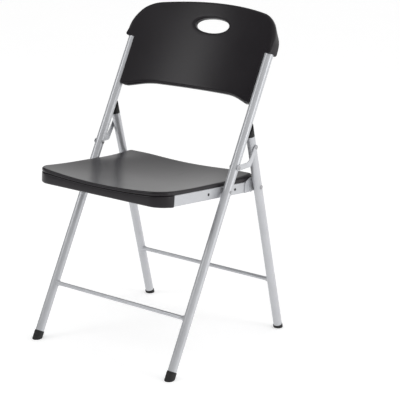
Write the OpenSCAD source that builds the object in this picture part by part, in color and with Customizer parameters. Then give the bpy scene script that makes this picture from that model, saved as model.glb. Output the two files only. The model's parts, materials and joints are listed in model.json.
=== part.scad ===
// Folding chair: two straight front uprights that carry the backrest, a seat hung between
// them, rear legs pivoted on the seat's back end, and two bent links that steer the legs.
// Millimetres, +Z up, the sitter faces -Y. The origin is on the floor, at the middle of the
// chair's width and depth.

/* [Frame tubes] */
// Outer diameter of the uprights and rear legs
tube_d = 22.2; // [19:0.1:25.4]
// Wall of those tubes
tube_wall = 1.2; // [0.8:0.1:2]
// Distance between the centre lines of the left and right tubes
track = 436; // [420:1:450]
// Outer diameter of the two thin braces
brace_d = 10.5; // [8:0.5:14]

/* [Stance] */
// Backward lean of the uprights, in degrees from vertical
upright_lean = 28.2; // [27:0.1:29]
// Forward lean of the rear legs, in degrees from vertical
leg_lean = 13.8; // [13:0.1:15]
// Distance between front and rear tube lines on the floor
foot_gap = 446; // [440:1:452]
// Front brace, measured up the uprights from the floor
front_brace_at = 150; // [120:1:220]
// Rear brace, measured up the rear legs from the floor
rear_brace_at = 143; // [110:1:220]

/* [Folding linkage] */
// Seat pivot, measured up the uprights
seat_pivot_at = 470; // [468:1:472]
// Lower leg pivot, measured up the rear legs
leg_pivot_at = 412; // [410:1:414]
// Distance along the leg from the seat's pivot to the link's pivot
leg_pivot_gap = 110; // [106:1:114]
// Gap between the tube lines when the chair is folded flat
folded_gap = 24.5; // [24:0.1:27]
// Steel thickness of the links
link_t = 2.5; // [2:0.1:3]

/* [Seat] */
// Width over the seat panel and its rails
seat_w = 406; // [404:1:408]
// Seat pivot to the panel's front edge
seat_front = 227; // [215:1:232]
// Seat pivot to the panel's rear edge
seat_rear = 129; // [127:1:132]
// Slope of the seat down towards the back, in degrees
seat_pitch = 5.4; // [4:0.1:7]
// Height of the panel's side edges above the pivot line, where they are lowest
seat_top = 19.3; // [19:0.1:21]
// How far the hollow of the seat lies below its side edges
seat_dish = 13; // [11:0.5:13]
// Rise of the side edges towards the rear corners
seat_rise = 9.5; // [8:0.5:11]
// Radius of the front corners in plan
seat_corner = 41; // [30:1:48]
// Height of the rectangular side rails
rail_h = 27; // [25:1:28]
// Width of the side rails
rail_w = 13; // [12:0.5:14]

/* [Backrest] */
// Top of the crown, measured up the uprights
back_top = 947.5; // [940:0.5:955]
// Lower corners, measured up the uprights
back_low = 692; // [682:1:705]
// Underside of the two shoulders that take in the tube ends
shoulder_low = 821; // [812:1:830]
// Greatest width across the shoulders
back_w = 463; // [462:1:472]
// Depth of the middle behind the tube centre lines
back_set = 26; // [22:1:30]
// Radius of the curve that holds the sitter's back
back_bend_r = 640; // [600:5:700]
// Thickness of the backrest
back_t = 18; // [16:0.5:20]
// Width of the hand hole
handle_w = 109; // [90:1:114]
// Height of the hand hole
handle_h = 41; // [34:1:44]
// Wall of both blow-moulded panels
skin = 3; // [2:0.5:3.5]
// Diameter of the hole that each hollow panel was blown up through
blow_hole_d = 5; // [4:0.5:7]

/* [Fasteners] */
// Diameter of the pivot rivets
pivot_d = 8; // [7:0.1:8.5]
// Diameter of the link rivets
rivet_d = 6; // [5:0.1:6.5]
// Diameter of the screws
screw_d = 4; // [3:0.1:4.2]

/* [Hidden] */
$fn = 64;
big_fn = 720;

steel = [0.72, 0.73, 0.75];
plastic = [0.16, 0.15, 0.17];
rubber = [0.07, 0.07, 0.08];
screw_black = [0.10, 0.10, 0.11];

fit = 0.1;
tube_r = tube_d / 2;
side_x = track / 2;
inner_x = side_x - tube_r;
outer_x = side_x + tube_r;

// Linkage, in the side plane [y, z] with the uprights' floor point as its zero.
function along(angle, reach, behind) =
    [reach * sin(angle) + behind * cos(angle), reach * cos(angle) - behind * sin(angle)];
function on_upright(reach, behind = 0) = along(upright_lean, reach, behind);
function on_leg(reach) = [foot_gap, 0] + along(-leg_lean, reach, 0);
upright_dir = on_upright(1);
seat_pivot = on_upright(seat_pivot_at);
leg_pivot = on_leg(leg_pivot_at);
link_end = on_leg(leg_pivot_at + leg_pivot_gap);
crank = norm(leg_pivot - seat_pivot);
folded_reach = seat_pivot_at - sqrt(crank * crank - folded_gap * folded_gap);
folded_end = on_upright(folded_reach + leg_pivot_gap, folded_gap);
// The link's fixed pivot is the one point of the upright as far from the open place of its
// rear end as from the folded place.
swing = folded_end - link_end;
link_pivot_at = ((link_end + folded_end) / 2) * swing / (upright_dir * swing);
link_pivot = on_upright(link_pivot_at);

// Depth of the chair, which puts the origin at its middle.
foot_d = 24.6;
front_foot_h = 21;
rear_foot_h = 10;
front_edge = -foot_d / 2 / cos(upright_lean);
back_edge = on_upright(back_top, back_set + back_t)[0];
middle_y = (front_edge + back_edge) / 2;

// Seat and its steel.
seat_half = seat_w / 2;
rail_in = seat_half - rail_w;
rail_wall = 1.5;
rail_front = 181.7;
rail_rear = 112;
rail_mid = -3.5;
rail_low = rail_mid - rail_h / 2;
rail_high = rail_mid + rail_h / 2;
lip_low = rail_low - 1.2;
core_half = rail_in - 3;
core_low = -13;
core_rear = 88;
shelf = rail_high + 0.2;
dish_r = (seat_half * seat_half + seat_dish * seat_dish) / (2 * seat_dish);
dish_y = -115;
side_rise_y = -10;
side_rise_r = pow(seat_rear - side_rise_y, 2) / (2 * seat_rise);
cross_d = 16;
cross_h = -5.5;
front_cross_y = -130;
rear_cross_y = 74;
seat_screw_y = 53;
bracket_t = 2;
bracket_front = 91;
leg_pivot_local = [
    (leg_pivot - seat_pivot) * [cos(seat_pitch), -sin(seat_pitch)],
    (leg_pivot - seat_pivot) * [sin(seat_pitch), cos(seat_pitch)]
];

// Backrest.
bend_centre = back_set - back_bend_r;
tube_top = 846;
socket_r = tube_r + 0.15;
saddle_r = 15.5;
shoulder_r = 15.6;
crown_r = 675;
crown_centre = back_top - crown_r;
corner_r = 90;
corner_x = back_w / 2 - corner_r;
corner_u = crown_centre + sqrt(pow(crown_r - corner_r, 2) - pow(corner_x, 2));
arch_rise = 25;
arch_r = 1600;
arch_angle = asin(110 / arch_r);
arch_centre = [0, back_low + arch_rise - arch_r];
ear_r = 190;
ear_slope = 19.5;
ear_centre = arch_centre + (arch_r - ear_r) * [sin(arch_angle), cos(arch_angle)];
back_end = 209;
handle_at = 886.5;
back_screw_turn = 25;
back_screws_at = [718, 796];

// Links: outside the tubes, bent below the straight line between their pivots.
link_x = outer_x + 0.4;
link_bend = [296, 469];
link_wide = 14;
link_slim = 12;
head_h = 2;
leg_top = 549.5;
stop_gap = 0.4;
plug_d = tube_d - 2 * tube_wall - 0.2;

function arc(centre, r, from, to, steps) =
    [for (i = [0 : steps]) centre + r * [cos(from + (to - from) * i / steps),
        sin(from + (to - from) * i / steps)]];

// ---- placing ------------------------------------------------------------------------------

module in_upright(x = 0) {
    translate([x, -middle_y, 0])
        rotate([-upright_lean, 0, 0])
            children();
}

module in_leg(x = 0) {
    translate([x, foot_gap - middle_y, 0])
        rotate([leg_lean, 0, 0])
            children();
}

module in_seat() {
    translate([0, seat_pivot[0] - middle_y, seat_pivot[1]])
        rotate([-seat_pitch, 0, 0])
            children();
}

// A child's own Z axis points outwards along +X, at a point of the side plane.
module cross_at(p, x = 0) {
    translate([x, p[0] - middle_y, p[1]])
        rotate([0, 90, 0])
            children();
}

module both_sides() {
    children();
    mirror([1, 0, 0])
        children();
}

module above_floor() {
    intersection() {
        children();
        translate([-500, -500, 0])
            cube([1000, 1000, 1000]);
    }
}

// ---- shared shapes ------------------------------------------------------------------------

module rod(d, from, to) {
    translate([0, 0, from])
        cylinder(d = d, h = to - from);
}

module tube(from, to) {
    difference() {
        rod(tube_d, from, to);
        rod(tube_d - 2 * tube_wall, from - 1, to + 1);
    }
}

module dome(d, h) {
    r = (d * d / 4 + h * h) / (2 * h);
    intersection() {
        translate([0, 0, h - r])
            sphere(r = r, $fn = 96);
        cylinder(d = d, h = h);
    }
}

module rounded_rect(x0, x1, y0, y1, r) {
    translate([x0 + r, y0])
        square([x1 - x0 - 2 * r, y1 - y0]);
    translate([x0, y0 + r])
        square([x1 - x0, y1 - y0 - 2 * r]);
    for (x = [x0 + r, x1 - r], y = [y0 + r, y1 - r])
        translate([x, y])
            circle(r = r);
}

module bar(a, b, w) {
    reach = norm(b - a);
    translate(a)
        rotate(atan2(b[1] - a[1], b[0] - a[0]))
            translate([0, -w / 2])
                square([reach, w]);
    translate(b)
        circle(d = w);
    translate(a)
        circle(d = w);
}

// ---- front frame --------------------------------------------------------------------------

module upright() {
    color(steel)
        difference() {
            in_upright(side_x)
                tube(14, tube_top);
            cross_at(seat_pivot, inner_x - 5)
                cylinder(d = pivot_d + 2 * fit, h = tube_d + 10);
            cross_at(link_pivot, inner_x - 5)
                cylinder(d = rivet_d + 2 * fit, h = tube_d + 10);
            for (u = back_screws_at)
                back_screw_place(u)
                    rod(screw_d + 2 * fit, 0, 20);
        }
}

module brace(reach) {
    difference() {
        rotate([0, 90, 0])
            cylinder(d = brace_d, h = track, center = true);
        both_sides()
            translate([side_x, 0, -50])
                cylinder(r = tube_r + 0.02, h = 100);
    }
}

module front_brace() {
    color(steel)
        in_upright()
            translate([0, 0, front_brace_at])
                brace();
}

module front_foot() {
    color(rubber)
        above_floor()
            in_upright(side_x)
                difference() {
                    rod(foot_d, -20, front_foot_h);
                    rod(tube_d + 0.1, 13.9, front_foot_h + 1);
                }
}

// Front view [x, u]: a crown, round corners, straight sides, and a lower edge that is nearly
// straight in the middle and bends down to an ear at each side.
module back_outline(inset = 0) {
    crown_angle = atan(corner_x / (corner_u - crown_centre));
    side = back_w / 2 - inset;
    corner = corner_r - inset;
    low = back_low + inset;
    bend_end = ear_centre + (ear_r + inset) * [sin(ear_slope), cos(ear_slope)];
    ear_x = bend_end[0] + (bend_end[1] - low) / tan(ear_slope);
    polygon(concat(
        arc([corner_x, corner_u], corner, 0, 90 - crown_angle, 12),
        arc([0, crown_centre], crown_r - inset, 90 - crown_angle, 90 + crown_angle, 16),
        arc([-corner_x, corner_u], corner, 90 + crown_angle, 180, 12),
        [[-side, low], [-ear_x, low]],
        arc([-ear_centre[0], ear_centre[1]], ear_r + inset, 90 + ear_slope, 90 + arch_angle, 6),
        arc(arch_centre, arch_r + inset, 90 + arch_angle, 90 - arch_angle, 10),
        arc(ear_centre, ear_r + inset, 90 - arch_angle, 90 - ear_slope, 6),
        [[ear_x, low], [side, low]]
    ));
}

module back_arc(inner, outer, half) {
    intersection() {
        translate([0, bend_centre])
            difference() {
                circle(r = back_bend_r + outer, $fn = big_fn);
                circle(r = back_bend_r + inner, $fn = big_fn);
            }
        translate([-half, -60])
            square([2 * half, 200]);
    }
}

module lift(from, to) {
    translate([0, 0, from])
        linear_extrude(to - from)
            children();
}

module back_plate(inset = 0) {
    translate([0, 100, 0])
        rotate([90, 0, 0])
            linear_extrude(200)
                back_outline(inset);
}

module handle_hole(grow = 0) {
    translate([0, 100, handle_at])
        rotate([90, 0, 0])
            linear_extrude(200)
                polygon([for (a = [0 : 6 : 354])
                    [(handle_w / 2 + grow) * cos(a), (handle_h / 2 + grow) * sin(a)]]);
}

module back_void() {
    difference() {
        intersection() {
            lift(back_low, back_top)
                back_arc(skin, back_t - skin, 198);
            back_plate(skin);
        }
        handle_hole(skin);
    }
    translate([0, back_set + back_t / 2, back_low])
        cylinder(d = blow_hole_d, h = arch_rise + 10);
}

module back_body() {
    intersection() {
        union() {
            lift(back_low, back_top)
                back_arc(0, back_t, back_end);
            lift(shoulder_low, back_top) {
                back_arc(0, back_t, side_x + 4);
                for (s = [-1, 1])
                    translate([s * (side_x + 4), 0])
                        circle(r = shoulder_r);
            }
            lift(back_low + 6, shoulder_low + 1)
                for (s = [-1, 1])
                    intersection() {
                        translate([s * side_x, 0])
                            circle(r = saddle_r);
                        translate([s * (side_x - 8), 8])
                            square([18, 16], center = true);
                    }
        }
        back_plate();
    }
}

module back_screw_place(u) {
    in_upright(side_x)
        translate([0, 0, u])
            rotate([0, 0, back_screw_turn])
                rotate([-90, 0, 0])
                    children();
}

module backrest_panel() {
    color(plastic)
        difference() {
            in_upright()
                difference() {
                    back_body();
                    back_void();
                    handle_hole();
                    both_sides()
                        translate([side_x, 0, 0])
                            rod(2 * socket_r, back_low - 1, tube_top + 1);
                }
            both_sides()
                for (u = back_screws_at)
                    back_screw_place(u)
                        rod(screw_d + 2 * fit, 0, 20);
        }
}

module backrest_screws() {
    color(screw_black)
        both_sides()
            for (u = back_screws_at)
                back_screw_place(u) {
                    rod(screw_d, 5, saddle_r + 0.2);
                    translate([0, 0, saddle_r + 0.1])
                        dome(8, head_h);
                }
}

module seat_pivot_rivets() {
    color(steel)
        both_sides() {
            cross_at(seat_pivot)
                rod(pivot_d, rail_in - 1, outer_x);
            cross_at(seat_pivot)
                rod(pivot_d + 4, rail_in - 2.4, rail_in - 0.1);
        }
}

module link_rivets() {
    color(steel)
        both_sides() {
            cross_at(link_pivot)
                rod(rivet_d, inner_x - 1, link_x + link_t + 0.6);
            cross_at(link_pivot, link_x + link_t + 0.1)
                dome(10, head_h);
            cross_at(link_pivot, inner_x - 0.1)
                mirror([0, 0, 1])
                    dome(10, head_h - 0.4);
        }
}

// ---- seat ---------------------------------------------------------------------------------

module seat_plan(inset = 0) {
    rear_r = 13;
    intersection() {
        rounded_rect(-seat_half + inset, seat_half - inset, -seat_front + inset, seat_rear + 90,
            seat_corner - inset);
        rounded_rect(-seat_half + inset, seat_half - inset, -seat_front - 90, seat_rear - inset,
            rear_r - inset);
    }
}

// Side view [y, h]: a shelf over the rails, and a lip that drops over their front ends.
module seat_side() {
    high = seat_top + seat_rise + 3;
    lip_r = 5;
    translate([-seat_front, shelf])
        square([seat_front + seat_rear, high - shelf]);
    translate([-seat_front, lip_low + lip_r])
        square([seat_front - rail_front, high - lip_low - lip_r]);
    translate([-seat_front + lip_r, lip_low])
        square([seat_front - rail_front - lip_r, high - lip_low]);
    translate([-seat_front + lip_r, lip_low + lip_r])
        circle(r = lip_r);
}

module seat_core() {
    translate([-core_half, -rail_front - 1, core_low])
        cube([2 * core_half, rail_front + core_rear + 1, shelf - core_low + 1]);
}

// Everything above the seat: a hollow for the sitter, and sides that rise towards the rear.
module above_seat(grow = 0) {
    translate([0, dish_y, seat_top - seat_dish + dish_r])
        sphere(r = dish_r + grow, $fn = 360);
    translate([0, side_rise_y, seat_top + 1 + side_rise_r])
        rotate([0, 90, 0])
            cylinder(r = side_rise_r + grow, h = 800, center = true, $fn = big_fn);
}

module cross_channels(grow = 0) {
    for (y = [front_cross_y, rear_cross_y])
        translate([-core_half - 5, y - cross_d / 2 - 0.5 - grow, core_low - 20])
            cube([2 * core_half + 10, cross_d + 1 + 2 * grow,
                cross_h + cross_d / 2 + 0.3 + grow - core_low + 20]);
}

module seat_void() {
    nose_half = 165;
    difference() {
        union() {
            translate([-core_half + skin, -rail_front, core_low + skin])
                cube([2 * (core_half - skin), rail_front + core_rear - skin, 60]);
            translate([-nose_half, -seat_front + skin + 2, lip_low + skin])
                cube([2 * nose_half, seat_front - rail_front - skin, 60]);
        }
        cross_channels(skin);
        above_seat(skin);
        for (s = [-1, 1], y = [-seat_screw_y, seat_screw_y])
            translate([s * core_half, y, rail_mid])
                rotate([0, -s * 90, 0])
                    cylinder(d = 12, h = 20);
    }
    translate([0, 0, core_low - 5])
        cylinder(d = blow_hole_d, h = 12);
}

module seat_screw_places() {
    both_sides()
        for (y = [-seat_screw_y, seat_screw_y])
            translate([seat_half, y, rail_mid])
                rotate([0, 90, 0])
                    children();
}

module seat_panel() {
    color(plastic)
        in_seat()
            difference() {
                union() {
                    intersection() {
                        linear_extrude(200, center = true)
                            seat_plan();
                        rotate([90, 0, 90])
                            linear_extrude(600, center = true)
                                seat_side();
                    }
                    seat_core();
                    seat_screw_places()
                        rod(16, -rail_w - 4, -rail_w - 0.1);
                }
                above_seat();
                seat_void();
                cross_channels();
                seat_screw_places()
                    rod(screw_d + 2 * fit, -rail_w - 21, 2);
                both_sides()
                    translate([core_half, bracket_front - 0.5, 0])
                        cube([40, 100, shelf + bracket_t + 0.2]);
            }
}

module seat_rail() {
    color(steel)
        in_seat()
            difference() {
                translate([rail_in, -rail_front + 0.2, rail_low])
                    cube([rail_w, rail_front + rail_rear, rail_h]);
                translate([rail_in + rail_wall, -rail_front - 1, rail_low + rail_wall])
                    cube([rail_w - 2 * rail_wall, rail_front + rail_rear + 10,
                        rail_h - 2 * rail_wall]);
                rotate([0, 90, 0])
                    rod(pivot_d + 2 * fit, rail_in - 1, seat_half + 1);
                seat_screw_places()
                    rod(screw_d + 2 * fit, -rail_w - 1, 1);
            }
}

module seat_cross_tube(y) {
    color(steel)
        in_seat()
            translate([0, y, cross_h])
                rotate([0, 90, 0])
                    difference() {
                        rod(cross_d, -rail_in, rail_in);
                        rod(cross_d - 2.4, -rail_in - 1, rail_in + 1);
                    }
}

module seat_front_tube() {
    seat_cross_tube(front_cross_y);
}

module seat_rear_tube() {
    seat_cross_tube(rear_cross_y);
}

// Side view of the bracket [y, h]: it covers the rail's end, climbs behind the panel's
// corner and rounds off at the leg's pivot.
module bracket_plate(over) {
    lug_r = 12;
    difference() {
        union() {
            polygon([
                [bracket_front, rail_low], [bracket_front, rail_high - 3],
                [bracket_front + 3, rail_high + bracket_t + 0.1],
                [bracket_front + 19, over], [bracket_front + 26, over],
                leg_pivot_local + lug_r * [cos(20), sin(20)],
                leg_pivot_local + lug_r * [cos(-75), sin(-75)]
            ]);
            translate(leg_pivot_local)
                circle(r = lug_r);
        }
        translate(leg_pivot_local)
            circle(d = pivot_d + 2 * fit);
    }
}

module rear_bracket() {
    high = 20;
    low = rail_high + bracket_t + 0.1;
    color(steel)
        in_seat() {
            rotate([90, 0, 90]) {
                lift(seat_half + 0.1, seat_half + 0.1 + bracket_t)
                    bracket_plate(high);
                lift(rail_in - 0.1 - bracket_t, rail_in - 0.1)
                    bracket_plate(low);
            }
            translate([rail_in - 0.1 - bracket_t, bracket_front + 4, low - bracket_t])
                cube([rail_w + 0.2 + 2 * bracket_t, 20, bracket_t]);
        }
}

module seat_rail_screws() {
    color(screw_black)
        in_seat()
            seat_screw_places() {
                rod(screw_d, -rail_w - 20, 0.5);
                translate([0, 0, 0.02])
                    dome(7, 1.4);
            }
}

module spacer_pair(p, from, d) {
    color(steel)
        both_sides()
            cross_at(p)
                difference() {
                    rod(d, from, inner_x - 0.1);
                    rod(pivot_d + 2 * fit, from - 1, inner_x + 1);
                }
}

module seat_spacers() {
    spacer_pair(seat_pivot, seat_half + 0.05, 14);
}

module leg_spacers() {
    spacer_pair(leg_pivot, seat_half + 0.15 + bracket_t, 16);
}

module leg_pivot_rivets() {
    color(steel)
        both_sides() {
            cross_at(leg_pivot)
                rod(pivot_d, rail_in - bracket_t - 1, outer_x + 0.5);
            cross_at(leg_pivot, outer_x + 0.1)
                dome(11, head_h - 0.2);
            cross_at(leg_pivot, rail_in - bracket_t - 0.15)
                mirror([0, 0, 1])
                    dome(12, head_h);
        }
}

// ---- rear legs ----------------------------------------------------------------------------

module rear_leg() {
    color(steel)
        difference() {
            in_leg(side_x)
                tube(6, leg_top);
            cross_at(leg_pivot, inner_x - 5)
                cylinder(d = pivot_d + 2 * fit, h = tube_d + 10);
            cross_at(link_end, side_x)
                cylinder(d = rivet_d + 2 * fit, h = tube_d);
        }
}

module rear_brace() {
    color(steel)
        in_leg()
            translate([0, 0, rear_brace_at])
                brace();
}

module rear_foot() {
    color(rubber)
        above_floor()
            in_leg(side_x)
                difference() {
                    rod(foot_d, -20, rear_foot_h);
                    rod(tube_d + 0.1, 5.9, rear_foot_h + 1);
                }
}

// The cap is cut to a wedge, parallel to the upright that it rests against.
module leg_cap() {
    color(rubber)
        difference() {
            in_leg(side_x) {
                rod(tube_d, leg_top + 0.05, leg_top + 60);
                rod(plug_d, leg_top - 18, leg_top + 1);
            }
            in_upright(side_x)
                translate([-50, -200, 300])
                    cube([100, 200 + tube_r + stop_gap, 500]);
        }
}

// ---- links --------------------------------------------------------------------------------

module link() {
    color(steel)
        difference() {
            translate([link_x, -middle_y, 0])
                rotate([90, 0, 90])
                    linear_extrude(link_t) {
                        bar(link_pivot, link_bend, link_wide);
                        bar(link_bend, link_end, link_slim);
                    }
            cross_at(link_pivot, link_x - 1)
                cylinder(d = rivet_d + 2 * fit, h = 10);
            cross_at(link_end, link_x - 1)
                cylinder(d = rivet_d + 2 * fit, h = 10);
        }
}

// The stud ends just outside the leg, where the linkage is left open.
module link_stud() {
    color(steel) {
        cross_at(link_end)
            rod(rivet_d, outer_x + 0.3, link_x + link_t + 0.6);
        cross_at(link_end, link_x + link_t + 0.1)
            dome(10, head_h);
    }
}

// ---- left is -X, right is +X --------------------------------------------------------------

module left() {
    mirror([1, 0, 0])
        children();
}

left() upright();  // left_upright
upright();  // right_upright
front_brace();
left() front_foot();  // left_front_foot
front_foot();  // right_front_foot
backrest_panel();
backrest_screws();
seat_pivot_rivets();
link_rivets();
seat_panel();
left() seat_rail();  // left_seat_rail
seat_rail();  // right_seat_rail
seat_front_tube();
seat_rear_tube();
left() rear_bracket();  // left_rear_bracket
rear_bracket();  // right_rear_bracket
seat_rail_screws();
seat_spacers();
leg_spacers();
leg_pivot_rivets();
left() rear_leg();  // left_rear_leg
rear_leg();  // right_rear_leg
rear_brace();
left() rear_foot();  // left_rear_foot
rear_foot();  // right_rear_foot
left() leg_cap();  // left_leg_cap
leg_cap();  // right_leg_cap
left() link();  // left_link
left() link_stud();  // left_link_stud
link();  // right_link
link_stud();  // right_link_stud
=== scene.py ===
# Folding chair: the visual model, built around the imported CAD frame.
# Shapes are made in millimetres in the chair's own local frames and placed in metres. Local X
# is across the chair, Y points behind, and Z runs up a tube or up out of the seat.
import json
import math

import bmesh
import bpy
import numpy as np
from mathutils import Matrix, Vector


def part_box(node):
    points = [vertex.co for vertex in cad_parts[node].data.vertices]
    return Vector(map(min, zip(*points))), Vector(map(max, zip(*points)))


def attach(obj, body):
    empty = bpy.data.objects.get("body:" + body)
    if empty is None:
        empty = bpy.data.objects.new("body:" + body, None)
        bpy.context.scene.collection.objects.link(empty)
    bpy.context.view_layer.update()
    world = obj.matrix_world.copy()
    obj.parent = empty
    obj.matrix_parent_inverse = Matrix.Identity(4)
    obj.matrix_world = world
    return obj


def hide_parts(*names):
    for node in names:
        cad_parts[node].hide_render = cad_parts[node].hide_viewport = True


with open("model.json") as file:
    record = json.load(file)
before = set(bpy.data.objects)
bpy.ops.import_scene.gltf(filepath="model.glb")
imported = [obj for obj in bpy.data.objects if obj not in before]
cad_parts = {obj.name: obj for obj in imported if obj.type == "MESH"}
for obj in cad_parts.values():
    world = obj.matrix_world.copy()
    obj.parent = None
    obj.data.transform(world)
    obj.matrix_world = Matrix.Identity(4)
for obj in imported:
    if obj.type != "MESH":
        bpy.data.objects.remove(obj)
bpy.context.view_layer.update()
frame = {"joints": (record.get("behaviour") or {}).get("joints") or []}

MM = 0.001

# ---- sizes in millimetres, most of them as in the CAD frame --------------------------------

# Tubes, from the floor up along each of them.
TUBE_R = 11.1
TUBE_WALL = 1.2
SIDE_X = 218                    # middle of each upright and rear leg
INNER_X = SIDE_X - TUBE_R
OUTER_X = SIDE_X + TUBE_R
BRACE_R = 5.25
FRONT_BRACE_AT = 150
REAR_BRACE_AT = 143
UPRIGHT_FOOT, UPRIGHT_TOP = 14, 846
LEG_FOOT, LEG_TOP = 6, 549.5
FOOT_R, FRONT_FOOT_TOP, REAR_FOOT_TOP = 12.3, 21, 10
PLUG = 18                       # length of the leg caps' plugs
STOP_GAP = 0.4                  # between the leg caps and the uprights

# Seat, from its pivot.
SEAT_HALF = 203
SEAT_FRONT, SEAT_REAR = -227, 129
SEAT_TOP, SEAT_DISH, SEAT_RISE = 19.3, 13, 9.5
DISH_AT, RISE_AT = -115, -10
SEAT_CORNER, SEAT_REAR_CORNER = 41, 13
RAIL_IN, RAIL_LOW, RAIL_HIGH = 190, -17, 10
RAIL_MIDDLE = (RAIL_LOW + RAIL_HIGH) / 2
SHELF, LIP_LOW = RAIL_HIGH + 0.2, RAIL_LOW - 1.2
RAIL_FRONT, RAIL_REAR = -181.5, 112
RAIL_WALL = 1.5
CORE_HALF, CORE_LOW, CORE_REAR = 187, -13, 88
CROSS_R, CROSS_H = 8, -5.5
CROSS_AT = (-130, 74)
SEAT_SCREW_AT = (-53, 53)
BRACKET_T, BRACKET_FRONT, BRACKET_TOP = 2, 91, 20
CHEEK_IN, CHEEK_OUT = RAIL_IN - 0.1 - BRACKET_T, SEAT_HALF + 0.1
WEB_TOP = RAIL_HIGH + BRACKET_T + 0.1

# Backrest, up the uprights from the floor and behind their middle line.
BEND_R, BACK_SET, BACK_T, BACK_FLAT = 640, 26, 18, 14.6
BACK_TOP, BACK_LOW, SHOULDER_LOW = 947.5, 692, 821
CROWN_R, BACK_HALF, BACK_CORNER = 675, 231.5, 90
ARCH_RISE, ARCH_R, ARCH_MIDDLE = 25, 1600, 110
EAR_BEND_R, EAR_SLOPE = 190, 19.5
BACK_SIDE = 208.5
SOCKET_R = 11.3
HANDLE_AT, HANDLE_W, HANDLE_H = 886.5, 109, 41
BACK_SCREWS_AT, BACK_SCREW_TURN, BACK_SCREW_SEAT = (718, 796), 25, 15.55
BLOW_R = 2.5                    # the holes through which the panels were blown

# Links and fasteners.
LINK_X, LINK_T = OUTER_X + 0.4, 2.5
LINK_WIDE, LINK_SLIM = 14, 12
LINK_BEND = (296, 469)          # behind the uprights' feet, above the floor
PIVOT_R, RIVET_R, SCREW_R = 4, 3, 2
PIVOT_HOLE, RIVET_HOLE, SCREW_HOLE = PIVOT_R + 0.1, RIVET_R + 0.1, SCREW_R + 0.1
DRILL = 20                      # half the length of a drill that goes right through a tube
LINK_HEAD, LINK_TAIL = (5, 2), (5, 1.6)         # heads and tails as (radius, height)
PIVOT_HEAD, PIVOT_TAIL = (5.5, 1.8), (6, 2)
BACK_SCREW_HEAD, RAIL_SCREW_HEAD = (4, 2), (3.5, 1.4)


# ---- local frames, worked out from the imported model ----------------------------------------

def joint_at(name):
    """A joint's place in the row frame, in metres."""
    return Vector(next(j for j in frame["joints"] if j["name"] == name)["pos_m"])


def centre(node):
    """The middle of a CAD node's box, moved to the middle of the chair's width."""
    low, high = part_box(node)
    middle = (low + high) / 2
    return Vector((0, middle.y, middle.z))


def side_frame(origin, along):
    """Millimetres to the row frame: X stays across, Z runs along, and Y points behind."""
    up = along.normalized()
    axes = Matrix((Vector((1, 0, 0)), Vector((0, up.z, -up.y)), up)).transposed()
    return Matrix.Translation(origin) @ axes.to_4x4() @ Matrix.Scale(MM, 4)


def on_floor(point, along):
    """Where the line through point meets the floor."""
    return point - along * (point.z / along.z)


seat_pivot = joint_at("seat_fold")
leg_pivot = joint_at("rear_leg_fold")
link_pivot = joint_at("right_link_turn")
link_end = centre("right_link_stud")
upright_along = link_pivot - seat_pivot
leg_along = link_end - leg_pivot
seat_back = centre("seat_rear_tube") - centre("seat_front_tube")

UPRIGHT = side_frame(on_floor(seat_pivot, upright_along), upright_along)
LEG = side_frame(on_floor(leg_pivot, leg_along), leg_along)
FOOT_LINE = UPRIGHT.translation.y
SEAT = side_frame(seat_pivot, Vector((0, -seat_back.z, seat_back.y)))
SIDE = Matrix.Scale(MM, 4)


def local(matrix, point):
    """A row-frame point in a local frame's millimetres."""
    return matrix.inverted() @ point


# ---- mesh kit ------------------------------------------------------------------------------

def turn(degrees, radius=1.0):
    """A plane vector of a length and a heading."""
    angle = math.radians(degrees)
    return Vector((radius * math.cos(angle), radius * math.sin(angle)))


def arc(middle, radius, start, end, steps):
    """Points of an arc in a plane, from start to end degrees."""
    return [Vector(middle) + turn(start + (end - start) * i / steps, radius)
            for i in range(steps + 1)]


def smooth(low, high, value):
    """A smooth step from 0 at low to 1 at high."""
    t = np.clip((value - low) / (high - low), 0, 1)
    return t * t * (3 - 2 * t)


def rings_mesh(rings, loop=False):
    """A closed mesh through rings of equally many points. A ring squeezed to a point is a pole,
    and loop joins the last ring to the first."""
    mesh = bmesh.new()
    grid = [[mesh.verts.new(p) for p in ring] for ring in rings]
    around = len(grid[0])
    for i in range(len(grid) if loop else len(grid) - 1):
        here, ahead = grid[i], grid[(i + 1) % len(grid)]
        for j in range(around):
            k = (j + 1) % around
            mesh.faces.new((here[j], here[k], ahead[k], ahead[j]))
    bmesh.ops.remove_doubles(mesh, verts=mesh.verts, dist=1e-4)
    bmesh.ops.recalc_face_normals(mesh, faces=mesh.faces)
    return mesh


def lathe(profile, around, loop=False):
    """Turns (radius, height) points about Z."""
    turns = [turn(360 * j / around) for j in range(around)]
    return rings_mesh([[(r * t.x, r * t.y, z) for t in turns] for r, z in profile], loop)


def prism(outline, low, high):
    """An outline in XY as a solid from low to high."""
    mesh = bmesh.new()
    face = mesh.faces.new([mesh.verts.new((p[0], p[1], low)) for p in outline])
    grown = bmesh.ops.extrude_face_region(mesh, geom=[face])
    top = [v for v in grown["geom"] if isinstance(v, bmesh.types.BMVert)]
    bmesh.ops.translate(mesh, vec=(0, 0, high - low), verts=top)
    bmesh.ops.recalc_face_normals(mesh, faces=mesh.faces)
    return mesh


def block(x, y, z):
    """A box from pairs of limits."""
    return prism([(x[0], y[0]), (x[1], y[0]), (x[1], y[1]), (x[0], y[1])], *z)


def moved(mesh, matrix):
    """The mesh after a move, with its faces kept outward when the move mirrors it."""
    mesh.transform(matrix)
    if matrix.determinant() < 0:
        bmesh.ops.reverse_faces(mesh, faces=mesh.faces)
    return mesh


def joined(meshes):
    """Several meshes that don't touch, as one."""
    result = bmesh.new()
    for mesh in meshes:
        part = bpy.data.meshes.new("part")
        mesh.to_mesh(part)
        mesh.free()
        result.from_mesh(part)
        bpy.data.meshes.remove(part)
    return result


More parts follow.
